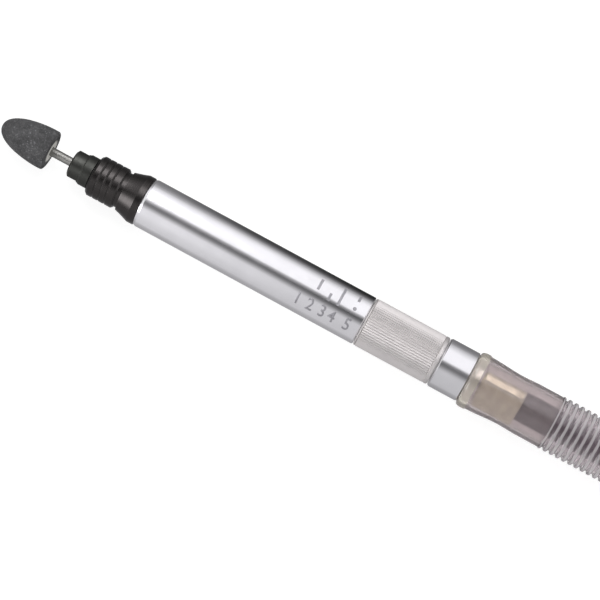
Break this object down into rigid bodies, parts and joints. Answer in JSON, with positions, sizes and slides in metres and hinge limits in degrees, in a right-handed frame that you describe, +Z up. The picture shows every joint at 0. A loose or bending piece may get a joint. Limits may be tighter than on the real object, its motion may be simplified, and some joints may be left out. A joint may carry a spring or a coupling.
{
  "type": "pencil air die grinder",
  "caption": "Pencil-type air die grinder with mounted stone, collet chuck, vane motor, knurled throttle ring, and coaxial supply and exhaust hoses.",
  "frame": {"origin": "on the surface it lies on, under the middle of the tool from stone tip to exhaust cuff", "axes": "+X along the tool's axis from the stone towards the hoses, +Z up"},
  "size_m": [0.4626, 0.1158, 0.0225],
  "materials": {
    "abrasive": "coarse sintered grit",
    "steel": "ground",
    "ball_steel": "polished",
    "black_steel": "black oxide, satin",
    "polished_aluminium": "polished",
    "knurled_aluminium": "fine straight knurl, satin",
    "plain_aluminium": "turned",
    "vane_composite": "fibre laminate",
    "seal_rubber": "smooth",
    "felt": "pressed felt",
    "brass": "satin",
    "clear_vinyl": "clear, glossy",
    "hose_grey": "smooth",
    "tie_strap": "matt",
    "plated_steel": "bright plated"
  },
  "bodies": {
    "housing": {"front_bearing_outer_ring": "steel", "rear_bearing_outer_ring": "steel", "cylinder_liner": "steel", "liner_pin": "steel", "preload_washer": "steel", "detent_spring": "steel", "stop_pin": "steel", "detent_ball": "ball_steel", "nose_ring": "black_steel", "nose_cone": "black_steel", "barrel": "polished_aluminium", "rear_collar": "polished_aluminium", "valve_body": "plain_aluminium", "front_end_plate": "plain_aluminium", "rear_end_plate": "plain_aluminium", "barrel_o_ring": "seal_rubber", "throttle_o_ring_front": "seal_rubber", "throttle_o_ring_rear": "seal_rubber", "dust_seal": "felt", "hose_nipple": "brass", "hose_nut": "brass", "nipple_washer": "brass", "exhaust_cuff": "clear_vinyl", "exhaust_hose": "clear_vinyl", "supply_hose": "hose_grey", "hose_coil": "hose_grey", "hose_tail": "hose_grey", "hose_tie": "tie_strap", "plug_ferrule": "plated_steel", "air_plug": "plated_steel"},
    "spindle": {"spindle": "steel", "front_bearing_inner_ring": "steel", "rear_bearing_inner_ring": "steel", "front_spacer": "steel", "rear_spacer": "steel", "rotor": "steel", "vane_1": "vane_composite", "vane_2": "vane_composite", "vane_3": "vane_composite", "vane_4": "vane_composite", "spindle_circlip": "steel"},
    "front_cage": {"front_bearing_balls": "ball_steel", "front_bearing_cage": "steel"},
    "rear_cage": {"rear_bearing_balls": "ball_steel", "rear_bearing_cage": "steel"},
    "collet": {"collet": "steel"},
    "collet_nut": {"collet_nut": "black_steel"},
    "mounted_point": {"grinding_stone": "abrasive", "stone_shank": "steel"},
    "throttle": {"throttle_ring": "knurled_aluminium"}
  },
  "joints": [
    {"name": "spindle_spin", "type": "hinge", "parent": "housing", "child": "spindle", "pos_m": [0, 0, 0.0098], "axis": [1, 0, 0], "continuous": true},
    {"name": "front_cage_orbit", "type": "hinge", "parent": "housing", "child": "front_cage", "pos_m": [0, 0, 0.0098], "axis": [1, 0, 0], "continuous": true},
    {"name": "rear_cage_orbit", "type": "hinge", "parent": "housing", "child": "rear_cage", "pos_m": [0, 0, 0.0098], "axis": [1, 0, 0], "continuous": true},
    {"name": "collet_slide", "type": "slide", "parent": "spindle", "child": "collet", "axis": [-1, 0, 0], "range_m": [0, 0.00075]},
    {"name": "collet_nut_turn", "type": "hinge", "parent": "collet", "child": "collet_nut", "pos_m": [0, 0, 0.0098], "axis": [-1, 0, 0], "range_deg": [0, 360]},
    {"name": "mounted_point_slide", "type": "slide", "parent": "collet", "child": "mounted_point", "axis": [-1, 0, 0], "range_m": [0, 0.02]},
    {"name": "throttle_turn", "type": "hinge", "parent": "housing", "child": "throttle", "pos_m": [0, 0, 0.0098], "axis": [1, 0, 0], "range_deg": [0, 90]}
  ],
  "couplings": [
    {"joint": "front_cage_orbit", "follows": "spindle_spin", "ratio": 0.38125},
    {"joint": "rear_cage_orbit", "follows": "spindle_spin", "ratio": 0.38462},
    {"joint": "collet_nut_turn", "follows": "collet_slide", "rad_per_m": 8377}
  ]
}
